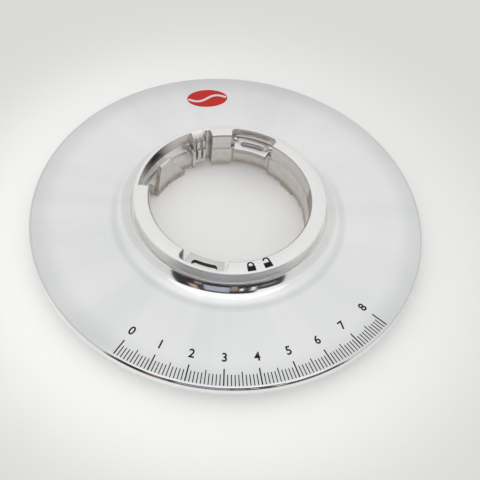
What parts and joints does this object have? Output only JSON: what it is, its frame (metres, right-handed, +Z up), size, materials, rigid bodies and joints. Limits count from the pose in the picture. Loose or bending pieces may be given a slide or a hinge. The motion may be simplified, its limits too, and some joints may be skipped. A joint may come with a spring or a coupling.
{
  "type": "coffee grinder grind setting dial",
  "caption": "Polished round dial with a printed scale and a flared hub, turning on a bayonet collar with a wide bore for a hopper's neck.",
  "frame": {"origin": "on the bore's axis, in the plane that the lower ring's feet stand on", "axes": "+Z up along the bore; -Y is the front, where the middle of the scale is; +X is to the right seen from the front"},
  "size_m": [0.19, 0.19, 0.023],
  "materials": {
    "polished_aluminium": "mirror polished",
    "machined_aluminium": "fine turned satin",
    "cast_aluminium": "as cast and machined",
    "stainless_steel": "brushed",
    "spring_steel": "oiled",
    "natural_plastic": "moulded",
    "black_ink": "screen printed",
    "red_ink": "screen printed",
    "white_ink": "screen printed"
  },
  "bodies": {
    "collar": {"bayonet_ring": "machined_aluminium", "carrier_ring": "cast_aluminium", "wave_spring": "spring_steel", "slip_washer": "natural_plastic", "travel_stop_pin": "stainless_steel", "back_catch_plate": "stainless_steel", "back_catch_pin_1": "stainless_steel", "back_catch_pin_2": "stainless_steel", "front_catch_plate": "stainless_steel", "front_catch_pin_1": "stainless_steel", "front_catch_pin_2": "stainless_steel", "ring_screw_front": "stainless_steel", "ring_screw_right": "stainless_steel", "ring_screw_back": "stainless_steel", "ring_screw_left": "stainless_steel"},
    "dial": {"scale_disc": "polished_aluminium"}
  },
  "joints": [
    {"name": "dial_turn", "type": "hinge", "parent": "collar", "child": "dial", "pos_m": [0, 0, 0.011], "axis": [0, 0, 1], "range_deg": [-40, 40]}
  ]
}
